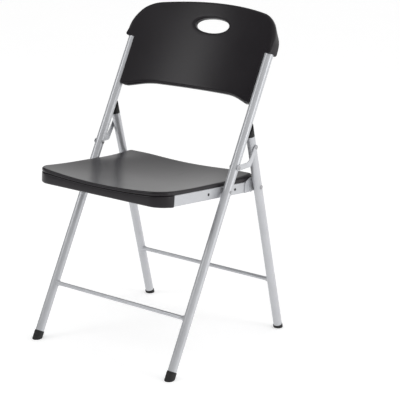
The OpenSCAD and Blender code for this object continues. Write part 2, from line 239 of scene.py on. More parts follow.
def scratch(mesh):
    """A mesh as an object that a modifier can use."""
    data = bpy.data.meshes.new("scratch")
    mesh.to_mesh(data)
    mesh.free()
    thing = bpy.data.objects.new("scratch", data)
    bpy.context.scene.collection.objects.link(thing)
    return thing


def boolean(mesh, tool, operation):
    """The mesh with a tool added to it or cut off it."""
    kept, other = scratch(mesh), scratch(tool)
    change = kept.modifiers.new(operation, "BOOLEAN")
    change.operation = operation
    change.solver = "EXACT"
    change.object = other
    bpy.context.view_layer.update()
    result = bmesh.new()
    result.from_object(kept, bpy.context.evaluated_depsgraph_get())
    for thing in (kept, other):
        data = thing.data
        bpy.data.objects.remove(thing)
        bpy.data.meshes.remove(data)
    return result


def cut(mesh, *tools):
    """The mesh with tools that don't touch one another cut off."""
    return boolean(mesh, joined(tools), "DIFFERENCE")


def add(mesh, *tools):
    """The mesh with tools fused to it."""
    for tool in tools:
        mesh = boolean(mesh, tool, "UNION")
    return mesh


ACROSS = Matrix.Rotation(math.radians(90), 4, "Y")
MIRROR = Matrix.Scale(-1, 4, (1, 0, 0))


def across(mesh, point=(0, 0, 0), x=0):
    """Lays a mesh made along Z out along X, through a point of the side plane, with its zero
    at x."""
    return moved(mesh, Matrix.Translation((x, point[1], point[2])) @ ACROSS)


def rod(radius, low, high, around=48):
    """A round bar along Z."""
    return lathe([(0, low), (radius, low), (radius, high), (0, high)], around)


def both(make):
    """A right-hand mesh and its mirror image."""
    return joined([make(), moved(make(), MIRROR)])


def piece(name, mesh, place, look, body, nodes, soft=35, bevel=0.0):
    """A finished piece: placed, shaded, given its material, tied to its body and put in for its
    nodes."""
    moved(mesh, place)
    data = bpy.data.meshes.new(name)
    mesh.to_mesh(data)
    mesh.free()
    thing = bpy.data.objects.new(name, data)
    bpy.context.scene.collection.objects.link(thing)
    if bevel:
        edge = thing.modifiers.new("edge", "BEVEL")
        edge.width = bevel * MM
        edge.segments = 3
        edge.limit_method = "ANGLE"
        edge.angle_limit = math.radians(40)
        edge.use_clamp_overlap = True
        bpy.context.view_layer.update()
        worn = thing.evaluated_get(bpy.context.evaluated_depsgraph_get())
        thing.data = bpy.data.meshes.new_from_object(worn)
        thing.modifiers.clear()
        bpy.data.meshes.remove(data)
        thing.data.name = name
    thing.data.shade_smooth()
    thing.data.set_sharp_from_angle(angle=math.radians(soft))
    if bevel:
        weigh = thing.modifiers.new("normals", "WEIGHTED_NORMAL")
        weigh.keep_sharp = True
    thing.data.materials.clear()
    thing.data.materials.append(look)
    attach(thing, body)
    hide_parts(*nodes)


def pair(name, make, place, look, body, bevel=0.0, soft=35):
    """The right and the left piece of a handed pair, where body may hold {side}."""
    for side, hand in (("right", Matrix.Identity(4)), ("left", MIRROR)):
        node = f"{side}_{name}"
        piece(f"{node}_shape", make(), place @ hand, look, body.format(side=side), [node],
              soft, bevel)


# ---- materials -----------------------------------------------------------------------------

FINISH = "_finish"


class Look:
    """A Principled material with its layers placed by the piece's own coordinates."""

    def __init__(self, name, metallic, specular=0.5):
        self.material = bpy.data.materials.new(name + FINISH)
        self.material.use_nodes = True
        self.nodes = self.material.node_tree.nodes
        self.links = self.material.node_tree.links
        self.shader = self.nodes["Principled BSDF"]
        self.shader.inputs["Metallic"].default_value = metallic
        self.shader.inputs["Specular IOR Level"].default_value = specular
        self.coordinates = self.nodes.new("ShaderNodeTexCoord").outputs["Object"]

    def noise(self, scale, detail, roughness=0.5, stretch=(1, 1, 1)):
        """Cloudy noise, with so many repeats to a metre."""
        place = self.nodes.new("ShaderNodeMapping")
        place.inputs["Scale"].default_value = stretch
        self.links.new(self.coordinates, place.inputs["Vector"])
        texture = self.nodes.new("ShaderNodeTexNoise")
        texture.inputs["Scale"].default_value = scale
        texture.inputs["Detail"].default_value = detail
        texture.inputs["Roughness"].default_value = roughness
        self.links.new(place.outputs["Vector"], texture.inputs["Vector"])
        return texture.outputs["Fac"]

    def cells(self, scale):
        """Soft-edged grains, with so many to a metre."""
        texture = self.nodes.new("ShaderNodeTexVoronoi")
        texture.feature = "SMOOTH_F1"
        texture.inputs["Scale"].default_value = scale
        self.links.new(self.coordinates, texture.inputs["Vector"])
        return texture.outputs["Distance"]

    def spread(self, value, low, high, start=0.0, end=1.0):
        """Maps start..end of a value to low..high."""
        span = self.nodes.new("ShaderNodeMapRange")
        span.inputs["From Min"].default_value = start
        span.inputs["From Max"].default_value = end
        span.inputs["To Min"].default_value = low
        span.inputs["To Max"].default_value = high
        self.links.new(value, span.inputs["Value"])
        return span.outputs["Result"]

    def sum(self, first, second):
        """Adds two values."""
        node = self.nodes.new("ShaderNodeMath")
        node.operation = "ADD"
        self.links.new(first, node.inputs[0])
        self.links.new(second, node.inputs[1])
        return node.outputs["Value"]

    def blend(self, factor, first, second):
        """Mixes two colours, either of which may be a socket."""
        node = self.nodes.new("ShaderNodeMix")
        node.data_type = "RGBA"
        self.links.new(factor, node.inputs["Factor"])
        for socket, colour in ((node.inputs[6], first), (node.inputs[7], second)):
            if isinstance(colour, tuple):
                socket.default_value = (*colour, 1)
            else:
                self.links.new(colour, socket)
        return node.outputs[2]

    def bump(self, height, strength, depth_mm, under=None):
        """Bumps of a depth, on top of the bumps under them if there are any."""
        node = self.nodes.new("ShaderNodeBump")
        node.inputs["Strength"].default_value = strength
        node.inputs["Distance"].default_value = depth_mm * MM
        self.links.new(height, node.inputs["Height"])
        if under is not None:
            self.links.new(under, node.inputs["Normal"])
        return node.outputs["Normal"]

    def finish(self, colour, roughness, normal):
        """Connects the layers and gives the material."""
        self.links.new(colour, self.shader.inputs["Base Color"])
        self.links.new(roughness, self.shader.inputs["Roughness"])
        self.links.new(normal, self.shader.inputs["Normal"])
        return self.material


def silver_coat():
    """Silver powder coat on tube: a fine orange peel, a few rubbed and dusty places."""
    look = Look("silver_coat", metallic=0.42, specular=0.5)
    patches = look.noise(14, 4)
    flake = look.noise(2600, 2)
    peel = look.noise(520, 3)
    rubbed = look.spread(look.noise(46, 8, 0.65), 0, 1, 0.62, 0.74)
    base = look.blend(look.spread(patches, 0, 1, 0.3, 0.7), (0.51, 0.518, 0.54), (0.56, 0.568, 0.59))
    speckled = look.blend(look.spread(flake, 0, 0.5, 0.52, 0.75), base, (0.69, 0.698, 0.72))
    worn = look.blend(look.spread(rubbed, 0, 0.35), speckled, (0.41, 0.417, 0.435))
    roughness = look.sum(look.spread(patches, 0.27, 0.35), look.spread(flake, -0.03, 0.05))
    normal = look.bump(peel, 0.35, 0.05)
    return look.finish(worn, roughness, look.bump(flake, 0.15, 0.02, normal))


def zinc_steel():
    """Bright zinc on rivets and spacers, with fine turning marks and a dull film."""
    look = Look("zinc_steel", metallic=0.9)
    film = look.noise(60, 5)
    marks = look.noise(900, 2, 0.5, (1, 0.12, 0.12))
    colour = look.blend(film, (0.30, 0.30, 0.31), (0.42, 0.42, 0.43))
    roughness = look.sum(look.spread(film, 0.38, 0.5), look.spread(marks, -0.04, 0.06))
    return look.finish(colour, roughness, look.bump(marks, 0.25, 0.03))


def black_plastic():
    """Blow-moulded polyethylene: satin, finely grained, with faint handling marks."""
    look = Look("black_plastic", metallic=0.0, specular=0.3)
    cloud = look.noise(7, 4)
    grain = look.cells(900)
    fine = look.noise(1900, 2)
    scuff = look.spread(look.noise(30, 9, 0.7, (1, 0.25, 1)), 0, 1, 0.66, 0.8)
    base = look.blend(look.spread(cloud, 0, 1, 0.35, 0.65), (0.0095, 0.0075, 0.0100),
                      (0.0130, 0.0108, 0.0136))
    colour = look.blend(look.spread(scuff, 0, 0.3), base, (0.036, 0.033, 0.036))
    roughness = look.sum(look.spread(cloud, 0.27, 0.34), look.spread(scuff, 0, 0.12))
    normal = look.bump(grain, 0.28, 0.06)
    return look.finish(colour, roughness, look.bump(fine, 0.2, 0.02, normal))


def black_rubber():
    """Rubber of the feet and caps: matt, a little dusty in places."""
    look = Look("black_rubber", metallic=0.0, specular=0.35)
    dust = look.noise(85, 6, 0.6)
    grain = look.noise(1300, 3)
    colour = look.blend(look.spread(dust, 0, 0.5, 0.45, 0.8), (0.012, 0.012, 0.0125),
                        (0.05, 0.048, 0.045))
    roughness = look.sum(look.spread(dust, 0.5, 0.68), look.spread(grain, -0.04, 0.04))
    return look.finish(colour, roughness, look.bump(grain, 0.4, 0.06))


def black_screw():
    """Blackened screws, worn brighter in places."""
    look = Look("black_screw", metallic=0.6)
    wear = look.noise(420, 6, 0.65)
    colour = look.blend(look.spread(wear, 0, 1, 0.58, 0.78), (0.018, 0.018, 0.02), (0.12, 0.12, 0.12))
    return look.finish(colour, look.spread(wear, 0.34, 0.5), look.bump(wear, 0.2, 0.03))


SILVER, ZINC, PLASTIC, RUBBER, SCREW = (
    make() for make in (silver_coat, zinc_steel, black_plastic, black_rubber, black_screw))


# ---- front frame and rear legs -------------------------------------------------------------

def tube(low, high, holes):
    """A tube with turned-in edges, drilled across at holes of (local point, radius, start of
    the drill). A start of zero leaves the wall on the chair's inner side whole."""
    inside = TUBE_R - TUBE_WALL
    edge = 0.35
    wall = lathe([(TUBE_R - edge, low), (TUBE_R, low + edge), (TUBE_R, high - edge),
                  (TUBE_R - edge, high), (inside, high), (inside, low)], 72, loop=True)
    drills = [across(rod(radius, start, DRILL), point) for point, radius, start in holes]
    return moved(cut(wall, *drills), Matrix.Translation((SIDE_X, 0, 0)))


def brace():
    """A thin round bar between the tubes, with a weld bead around each end."""
    around, ripples = 40, 9
    into_wall = 0.6
    # Gap to the tube's wall and swell of the radius, from the bare bar to inside the wall.
    bead = ((16, 0), (7.2, 0.02), (5.6, 0.35), (4.2, 1.15), (2.6, 1.75), (1.0, 2.3), (-into_wall, 2.5))
    right = []
    for gap, swell in bead:
        ring = []
        for j in range(around):
            angle = 2 * math.pi * j / around
            ripple = 1 + 0.12 * math.sin(ripples * angle) * min(swell, 1)
            radius = BRACE_R + swell * ripple
            y, z = radius * math.cos(angle), radius * math.sin(angle)
            ring.append((SIDE_X - math.sqrt(TUBE_R ** 2 - y * y) - gap, y, z))
        right.append(ring)
    left = [[(-x, y, z) for x, y, z in ring] for ring in reversed(right)]
    end = INNER_X + into_wall
    return rings_mesh([[(-end, 0, 0)] * around] + left + right + [[(end, 0, 0)] * around])


def floor_at(place, x, y):
    """Height in a local frame at which the line (x, y) meets the floor."""
    low, high = place @ Vector((x, y, 0)), place @ Vector((x, y, 1))
    return -low.z / (high.z - low.z)


def foot(place, top, tube_low):
    """A rubber foot: flat on the floor, rounded at its rims, open at the top for the tube."""
    around = 64
    rings = [[(0, 0, floor_at(place, 0, 0))] * around]
    for radius, lift in ((FOOT_R - 2.2, 0), (FOOT_R - 0.9, 0.25), (FOOT_R - 0.25, 0.9), (FOOT_R, 1.9)):
        ring = []
        for j in range(around):
            spot = turn(360 * j / around, radius)
            ring.append((spot.x, spot.y, floor_at(place, spot.x, spot.y) + lift))
        rings.append(ring)
    rim = 1.0
    for radius, height in ((FOOT_R, top - rim), (FOOT_R - 0.3, top - 0.3), (FOOT_R - rim, top),
                           (TUBE_R + 0.05, top), (TUBE_R + 0.05, tube_low - 0.1), (0, tube_low - 0.1)):
        rings.append([(*turn(360 * j / around, radius), height) for j in range(around)])
    return moved(rings_mesh(rings), Matrix.Translation((SIDE_X, 0, 0)))


def leg_cap():
    """A plug with a solid wedge on it, cut parallel to the upright that it rests against."""
    around = 72
    inside = TUBE_R - TUBE_WALL - 0.1
    edge = 1.2
    into_upright = UPRIGHT.inverted() @ LEG

    def top(x, y):
        """Height at which the line (x, y) of the leg meets the upright's clearance plane."""
        low, high = into_upright @ Vector((x, y, 0)), into_upright @ Vector((x, y, 1))
        return (TUBE_R + STOP_GAP - low.y) / (high.y - low.y)

    base = LEG_TOP + 0.05
    rings = [[(*turn(360 * j / around, radius), height) for j in range(around)]
             for radius, height in ((0, LEG_TOP - PLUG), (inside - 0.8, LEG_TOP - PLUG),
                                    (inside, LEG_TOP - PLUG + 1), (inside, base), (TUBE_R - 0.3, base))]
    for inset, drop in ((0, edge), (0.1, 0.72), (0.35, 0.35), (0.72, 0.1), (edge, 0), (4, 0), (8, 0)):
        ring = []
        for j in range(around):
            spot = turn(360 * j / around, TUBE_R - inset)
            ring.append((spot.x, spot.y, max(base + 0.3, top(spot.x, spot.y) - drop)))
        rings.append(ring)
    rings.append([(0, 0, top(0, 0))] * around)
    return moved(rings_mesh(rings), Matrix.Translation((SIDE_X, 0, 0)))


def upright():
    """Drilled through for the seat's pivot and for the link's."""
    return tube(UPRIGHT_FOOT, UPRIGHT_TOP, [(local(UPRIGHT, seat_pivot), PIVOT_HOLE, -DRILL),
                                            (local(UPRIGHT, link_pivot), RIVET_HOLE, -DRILL)])


def rear_leg():
    """Drilled through for its pivot, but only into the outer wall for the link's stud."""
    return tube(LEG_FOOT, LEG_TOP, [(local(LEG, leg_pivot), PIVOT_HOLE, -DRILL),
                                    (local(LEG, link_end), RIVET_HOLE, 0)])


pair("upright", upright, UPRIGHT, SILVER, "front_frame")
pair("rear_leg", rear_leg, LEG, SILVER, "rear_legs")
piece("front_brace_shape", moved(brace(), Matrix.Translation((0, 0, FRONT_BRACE_AT))), UPRIGHT,
      SILVER, "front_frame", ["front_brace"], soft=60)
piece("rear_brace_shape", moved(brace(), Matrix.Translation((0, 0, REAR_BRACE_AT))), LEG,
      SILVER, "rear_legs", ["rear_brace"], soft=60)
pair("front_foot", lambda: foot(UPRIGHT, FRONT_FOOT_TOP, UPRIGHT_FOOT), UPRIGHT, RUBBER, "front_frame")
pair("rear_foot", lambda: foot(LEG, REAR_FOOT_TOP, LEG_FOOT), LEG, RUBBER, "rear_legs")
pair("leg_cap", leg_cap, LEG, RUBBER, "rear_legs", soft=50)


# ---- backrest ------------------------------------------------------------------------------

def resampled(points, step):
    """A closed outline with its corners kept and its stretches divided to about step."""
    result = []
    for a, b in zip(points, points[1:] + points[:1]):
        parts = max(1, round((b - a).length / step))
        result += [a.lerp(b, i / parts) for i in range(parts) if (b - a).length > 1e-6]
    return result


def inward(points):
    """Unit normals that point into a counter-clockwise closed outline."""
    normals = []
    for i, here in enumerate(points):
        along = (here - points[i - 1]).normalized() + (points[(i + 1) % len(points)] - here).normalized()
        along = along.normalized()
        normals.append(Vector((-along.y, along.x)))
    return normals


def back_outline():
    """Front view of the backrest: crown, corners, shoulder steps, ears and arched lower edge."""
    corner_x = BACK_HALF - BACK_CORNER
    crown_middle = BACK_TOP - CROWN_R
    corner_u = crown_middle + math.sqrt((CROWN_R - BACK_CORNER) ** 2 - corner_x ** 2)
    lean = math.degrees(math.atan(corner_x / (corner_u - crown_middle)))
    arch_angle = math.degrees(math.asin(ARCH_MIDDLE / ARCH_R))
    arch_centre = Vector((0, BACK_LOW + ARCH_RISE - ARCH_R))
    bend_centre = arch_centre + turn(90 - arch_angle, ARCH_R - EAR_BEND_R)
    bend = arc(bend_centre, EAR_BEND_R, 90 - arch_angle, 90 - EAR_SLOPE, 8)
    ear_x = bend[-1].x + (bend[-1].y - BACK_LOW) / math.tan(math.radians(EAR_SLOPE))
    half_arch = arc(arch_centre, ARCH_R, 90, 90 - arch_angle, 24) + bend[1:] + [Vector((ear_x, BACK_LOW))]
    ear = 7
    step = 6
    right = [Vector((BACK_SIDE - ear, BACK_LOW))]
    right += arc((BACK_SIDE - ear, BACK_LOW + ear), ear, -90, 0, 6)[1:]
    right += [Vector((BACK_SIDE, SHOULDER_LOW))]
    right += arc((BACK_HALF - step, SHOULDER_LOW + step), step, -90, 0, 4)
    right += arc((corner_x, corner_u), BACK_CORNER, 0, 90 - lean, 18)
    crown = arc((0, crown_middle), CROWN_R, 90 - lean, 90 + lean, 40)[1:-1]
    left = [Vector((-p.x, p.y)) for p in reversed(right)]
    arch = [Vector((-p.x, p.y)) for p in reversed(half_arch)] + half_arch[1:]
    return resampled(right + crown + left + arch, 4.5)


def back_front(x):
    """Depth of the front face, which is bent round the sitter."""
    return BACK_SET - BEND_R + np.sqrt(BEND_R ** 2 - x * x)


def back_rear(x, u):
    """Depth of the rear face: parallel to the front, fuller over the tubes, with a moulded field."""
    face = back_front(x) + BACK_T
    fuller = smooth(186, 210, abs(x)) * (1 - smooth(853, 890, u))
    field = (1 - smooth(140, 158, abs(x))) * smooth(732, 748, u) * (1 - smooth(832, 848, u))
    return face + (BACK_FLAT - face) * fuller - 1.8 * field


def back_edge_r(point):
    """Radii of the front and rear edge roundings: the rear one is fuller round the crown, and
    both are small against the tubes."""
    full = 3.5 + 4 * smooth(200, 226, abs(point.x))
    crown = 7 * smooth(880, 925, point.y)
    bottom = 5.5 * (1 - smooth(BACK_LOW + 28, BACK_LOW + 40, point.y)) * (1 - smooth(196, 207, abs(point.x)))
    front = 1.5 + max(full * smooth(SHOULDER_LOW, SHOULDER_LOW + 22, point.y), bottom)
    rear = 1.5 + max(full * smooth(SHOULDER_LOW, SHOULDER_LOW + 65, point.y) + crown, bottom)
    return front, min(rear, BACK_T - 0.6 - front)


def back_shell():
    """The panel as rings: hole, front face, outer edge, rear face and back to the hole."""
    outline = back_outline()
    normals = inward(outline)
    front_radii, rear_radii = zip(*(back_edge_r(p) for p in outline))
    middle = Vector((0, HANDLE_AT))
    headings = [(p - middle).normalized() for p in outline]

    def hole(grow):
        """The hand hole's ellipse, grown all round, with a point for each of the outline's."""
        a, b = HANDLE_W / 2 + grow, HANDLE_H / 2 + grow
        return [middle + h * (a * b / math.hypot(b * h.x, a * h.y)) for h in headings]

    def lifted(points, depth):
        return [(p.x, depth(p), p.y) for p in points]

    def front(p):
        return back_front(p.x)

    def rear(p):
        return back_rear(p.x, p.y)

    steps = 7
    turns = [math.radians(90 * k / steps) for k in range(steps + 1)]
    inset = [p + n * r for p, n, r in zip(outline, normals, front_radii)]
    rings = []
    mouth = 6.5
    for angle in turns:
        sink = mouth * (1 - math.cos(angle))
        rings.append(lifted(hole(mouth * (1 - math.sin(angle)) - 0.5), lambda p: front(p) + sink))
    rings.reverse()
    rim = hole(mouth - 0.5)
    spans = 26
    for k in range(1, spans):
        blend = k / spans
        rings.append(lifted([a.lerp(b, blend) for a, b in zip(rim, inset)], front))
    for angle in turns:
        ring = []
        for p, n, r in zip(outline, normals, front_radii):
            spot = p + n * (r * (1 - math.sin(angle)))
            ring.append((spot.x, back_front(spot.x) + r * (1 - math.cos(angle)), spot.y))
        rings.append(ring)
    for angle in reversed(turns):
        ring = []
        for p, n, r in zip(outline, normals, rear_radii):
            spot = p + n * (r * (1 - math.sin(angle)))
            ring.append((spot.x, back_rear(spot.x, spot.y) - r * (1 - math.cos(angle)), spot.y))
        rings.append(ring)
    inset = [p + n * r for p, n, r in zip(outline, normals, rear_radii)]
    back_mouth = 4.0
    back_rim = hole(back_mouth - 0.5)
    spans = 44
    for k in range(spans - 1, 0, -1):
        blend = k / spans
        rings.append(lifted([a.lerp(b, blend) for a, b in zip(back_rim, inset)], rear))
    for angle in turns:
        sink = back_mouth * (1 - math.cos(angle))
        rings.append(lifted(hole(back_mouth * (1 - math.sin(angle)) - 0.5), lambda p: rear(p) - sink))
    return rings_mesh(rings, loop=True)


def saddle():
    """The flange that wraps the inner back quarter of a tube below the shoulder."""
    inner, outer, front, edge = 200, 219.5, 3, 3
    outline = [Vector((inner, front)), Vector((outer, front))]
    outline += arc((outer - edge, BACK_FLAT - edge), edge, 0, 90, 6)
    outline += [Vector((inner, BACK_FLAT))]
    return prism(outline, BACK_LOW + 6, SHOULDER_LOW + 1.5)


def backrest():
    """The panel with its flanges, the tubes' sockets and the blow hole in its lower edge."""
    shell = add(back_shell(), both(saddle))
    sockets = both(lambda: moved(rod(SOCKET_R, BACK_LOW - 5, UPRIGHT_TOP + 1, 72),
                                 Matrix.Translation((SIDE_X, 0, 0))))
    blow_hole = moved(rod(BLOW_R, BACK_LOW, BACK_LOW + ARCH_RISE + 10, 24),
                      Matrix.Translation((0, BACK_SET + BACK_T / 2, 0)))
    return cut(shell, sockets, blow_hole)


piece("backrest_shell", backrest(), UPRIGHT, PLASTIC, "front_frame", ["backrest_panel"])


# ---- seat ----------------------------------------------------------------------------------

def seat_outline(front_r, rear_r, half, front, rear, step):
    """Plan of the seat, counter-clockwise from the right rear corner."""
    points = arc((half - rear_r, rear - rear_r), rear_r, 0, 90, 8)
    points += arc((-half + rear_r, rear - rear_r), rear_r, 90, 180, 8)
    points += arc((-half + front_r, front + front_r), front_r, 180, 270, 14)
    points += arc((half - front_r, front + front_r), front_r, 270, 360, 14)
    return resampled(points, step)


def seat_height(p):
    """Top of the seat: a hollow for the sitter, between sides that rise towards the rear."""
    dish_r = (SEAT_HALF ** 2 + SEAT_DISH ** 2) / (2 * SEAT_DISH)
    rise_r = (SEAT_REAR - RISE_AT) ** 2 / (2 * SEAT_RISE)
    hollow = SEAT_TOP - SEAT_DISH + dish_r - math.sqrt(dish_r ** 2 - p.x ** 2 - (p.y - DISH_AT) ** 2)
    sides = SEAT_TOP + 1 + rise_r - math.sqrt(rise_r ** 2 - (p.y - RISE_AT) ** 2)
    blend = 1.2
    return -blend * math.log(math.exp(-hollow / blend) + math.exp(-sides / blend))


def seam_height(p):
    """Where the seat's rim ends and the lip below it begins: at the rails' top, lower in front."""
    front = 1 - smooth(SEAT_FRONT + 30, SEAT_FRONT + 60, p.y)
    drop, reach = 8, 190
    return SHELF - drop * front * max(0, 1 - (p.x / reach) ** 2)


def slab(outline, top, bottom, top_r, bottom_r, pole):
    """A plate on a plan outline: top and bottom are heights at a point, and the radii of its
    upper and lower edges come from each edge point and its outward direction."""
    normals = inward(outline)
    upper = [top_r(p, -n) for p, n in zip(outline, normals)]
    lower = [bottom_r(p, -n) for p, n in zip(outline, normals)]
    steps = 8
    turns = [math.radians(90 * k / steps) for k in range(steps + 1)]
    spans = 24
    middle = Vector(pole)

    def face(radii, height):
        """Rings of a flat side, from its pole out to the start of its edge rounding."""
        inset = [p + n * r for p, n, r in zip(outline, normals, radii)]
        spots = [[middle.lerp(p, k / spans) for p in inset] for k in range(spans)]
        return [[(p.x, p.y, height(p)) for p in ring] for ring in spots]

    def edge(radii, height, way, angles):
        """Rings of an edge rounding, from the flat side to the wall."""
        rings = []
        for angle in angles:
            spots = [p + n * (r * (1 - math.sin(angle))) for p, n, r in zip(outline, normals, radii)]
            rings.append([(p.x, p.y, height(p) + way * r * (1 - math.cos(angle)))
                          for p, r in zip(spots, radii)])
        return rings

    above = face(upper, top) + edge(upper, top, -1, turns)
    below = face(lower, bottom) + edge(lower, bottom, 1, turns[::2])
    return rings_mesh(above + below[::-1])


def seat_top_slab():
    """The dished top of the seat, down to the seam and the rails."""
    outline = seat_outline(SEAT_CORNER, SEAT_REAR_CORNER, SEAT_HALF, SEAT_FRONT, SEAT_REAR, 4.5)

    def bottom(p):
        return min(seam_height(p), seat_height(p) - 6)

    def top_r(p, out):
        wanted = 8 - 3.5 * smooth(0.3, 1, -out.y)
        return min(wanted, (seat_height(p) - bottom(p)) * 0.62)

    def bottom_r(p, out):
        return min(2.2 + 1.4 * (1 - smooth(SEAT_FRONT + 50, SEAT_FRONT + 70, p.y)),
                   (seat_height(p) - bottom(p)) * 0.36)

    return slab(outline, seat_height, bottom, top_r, bottom_r, (0, -40))


def seat_lip():
    """The front lip that drops over the rails' front ends."""
    inset = 0.25
    front, rear = SEAT_FRONT + inset, RAIL_FRONT - 0.2
    half = SEAT_HALF - inset
    outline = seat_outline(SEAT_CORNER, 1.2, half, front, rear, 4.5)

    def top(p):
        return seam_height(p) + 0.1

    def top_r(p, out):
        return 0.2 + 3.6 * (1 - smooth(-0.1, 0.4, out.y)) * (1 - smooth(rear - 5, rear - 1.5, p.y))

    def bottom_r(p, out):
        return 0.8 + 4.2 * smooth(0.02, 0.4, -out.y)

    return slab(outline, top, lambda p: LIP_LOW, top_r, bottom_r, (0, -204))


def seat_core():
    """The hollow middle between the rails, with moulded dimples under it."""
    outline = seat_outline(6, 6, CORE_HALF, RAIL_FRONT - 1, CORE_REAR, 12)
    core = slab(outline, lambda p: min(SHELF + 0.5, seat_height(p) - 3), lambda p: CORE_LOW,
                lambda p, out: 0.2, lambda p, out: 3.0, (0, -40))
    dimples = []
    floor = CORE_LOW + 13
    for x in (-135, -81, -27, 27, 81, 135):
        for y in (-92, -44, 4, 42):
            cone = lathe([(0, CORE_LOW - 1), (9, CORE_LOW - 1), (8.2, CORE_LOW + 0.4), (5.2, floor - 1),
                          (4.2, floor), (0, floor)], 32)
            dimples.append(moved(cone, Matrix.Translation((x, y, 0))))
    return cut(core, *dimples)


def seat():
    """The whole panel, with channels for the cross tubes and room for the brackets."""
    body = add(seat_core(), seat_lip(), seat_top_slab())
    channels = [block((-CORE_HALF - 5, CORE_HALF + 5), (y - CROSS_R - 0.5, y + CROSS_R + 0.5),
                      (CORE_LOW - 20, CROSS_H + CROSS_R + 0.3)) for y in CROSS_AT]
    notches = both(lambda: block((CORE_HALF + 0.4, SEAT_HALF + 10), (BRACKET_FRONT - 0.5, SEAT_REAR + 30),
                                 (-20, RAIL_HIGH + BRACKET_T + 0.4)))
    blow_hole = rod(BLOW_R, CORE_LOW - 5, CORE_LOW + 7, 24)
    return cut(body, *channels, notches, blow_hole)


def rounded_box(x, z, radius):
    """Cross-section of a rail, counter-clockwise."""
    return (arc((x[1] - radius, z[1] - radius), radius, 0, 90, 5)
            + arc((x[0] + radius, z[1] - radius), radius, 90, 180, 5)
            + arc((x[0] + radius, z[0] + radius), radius, 180, 270, 5)
            + arc((x[1] - radius, z[0] + radius), radius, 270, 360, 5))


def seat_rail():
    """A rectangular tube with rolled corners, drilled for its screws and the seat pivot."""
    outer = rounded_box((RAIL_IN, SEAT_HALF), (RAIL_LOW, RAIL_HIGH), 2.2)
    inner = rounded_box((RAIL_IN + RAIL_WALL, SEAT_HALF - RAIL_WALL),
                        (RAIL_LOW + RAIL_WALL, RAIL_HIGH - RAIL_WALL), 0.9)
    rings = [[(p.x, y, p.y) for p in section]
             for section, y in ((outer, RAIL_FRONT), (outer, RAIL_REAR), (inner, RAIL_REAR),
                                (inner, RAIL_FRONT))]
    drills = [across(rod(SCREW_HOLE, RAIL_IN - 5, SEAT_HALF + 5, 32), (0, y, RAIL_MIDDLE))
              for y in SEAT_SCREW_AT]
    drills.append(across(rod(PIVOT_HOLE, RAIL_IN - 5, SEAT_HALF + 5)))
    return cut(rings_mesh(rings, loop=True), *drills)


def cross_tube(y):
    """An open tube from rail to rail."""
    wall = lathe([(CROSS_R, -RAIL_IN), (CROSS_R, RAIL_IN), (CROSS_R - TUBE_WALL, RAIL_IN),
                  (CROSS_R - TUBE_WALL, -RAIL_IN)], 48, loop=True)
    return across(wall, (0, y, CROSS_H))


leg_pivot_seat = local(SEAT, leg_pivot)
# An outline's x and y become y and z, and its height runs along x.
PLATE = Matrix(((0, 0, 1, 0), (1, 0, 0, 0), (0, 1, 0, 0), (0, 0, 0, 1)))


def plate(outline, x, thickness):
    """A side-plane outline [y, z] as a plate that is thickness wide from x outwards."""
    return moved(prism(outline, x, x + thickness), PLATE)


def bracket_outline(over):
    """Side view of a cheek whose upper edge is at over, with a lug round the leg's pivot."""
    lug = 12
    pivot = (leg_pivot_seat.y, leg_pivot_seat.z)
    points = [Vector((BRACKET_FRONT, RAIL_LOW)), Vector((BRACKET_FRONT, RAIL_HIGH - 3)),
              Vector((BRACKET_FRONT + 3, WEB_TOP)),
              Vector((BRACKET_FRONT + 19, over)), Vector((BRACKET_FRONT + 26, over))]
    points += arc(pivot, lug, 20, -75, 14)
    return points[::-1]


def rear_bracket():
    """Two cheeks over the rail's end joined by a web, with a pressed rib beside the leg."""
    outer = plate(bracket_outline(BRACKET_TOP), CHEEK_OUT, BRACKET_T)
    pivot = (leg_pivot_seat.y, leg_pivot_seat.z)
    rib_out, rib_in, start, end = 18, 15, 118, 238
    rib = plate(arc(pivot, rib_out, start, end, 18) + arc(pivot, rib_in, end, start, 18),
                SEAT_HALF + BRACKET_T, 1.2)
    inner = plate(bracket_outline(WEB_TOP), CHEEK_IN, BRACKET_T)
    web = block((CHEEK_IN, CHEEK_OUT + BRACKET_T), (BRACKET_FRONT + 4, BRACKET_FRONT + 24),
                (WEB_TOP - BRACKET_T, WEB_TOP))
    drill = across(rod(PIVOT_HOLE, RAIL_IN - 10, SEAT_HALF + 10), leg_pivot_seat)
    return cut(add(outer, inner, web, rib), drill)


pair("seat_rail", seat_rail, SEAT, SILVER, "seat", bevel=0.3)
pair("rear_bracket", rear_bracket, SEAT, SILVER, "seat", bevel=0.5)
piece("seat_shell", seat(), SEAT, PLASTIC, "seat", ["seat_panel"])
for name, y in zip(("seat_front_tube", "seat_rear_tube"), CROSS_AT):
    piece(f"{name}_shape", cross_tube(y), SEAT, SILVER, "seat", [name])


# ---- links, rivets, spacers and screws -----------------------------------------------------

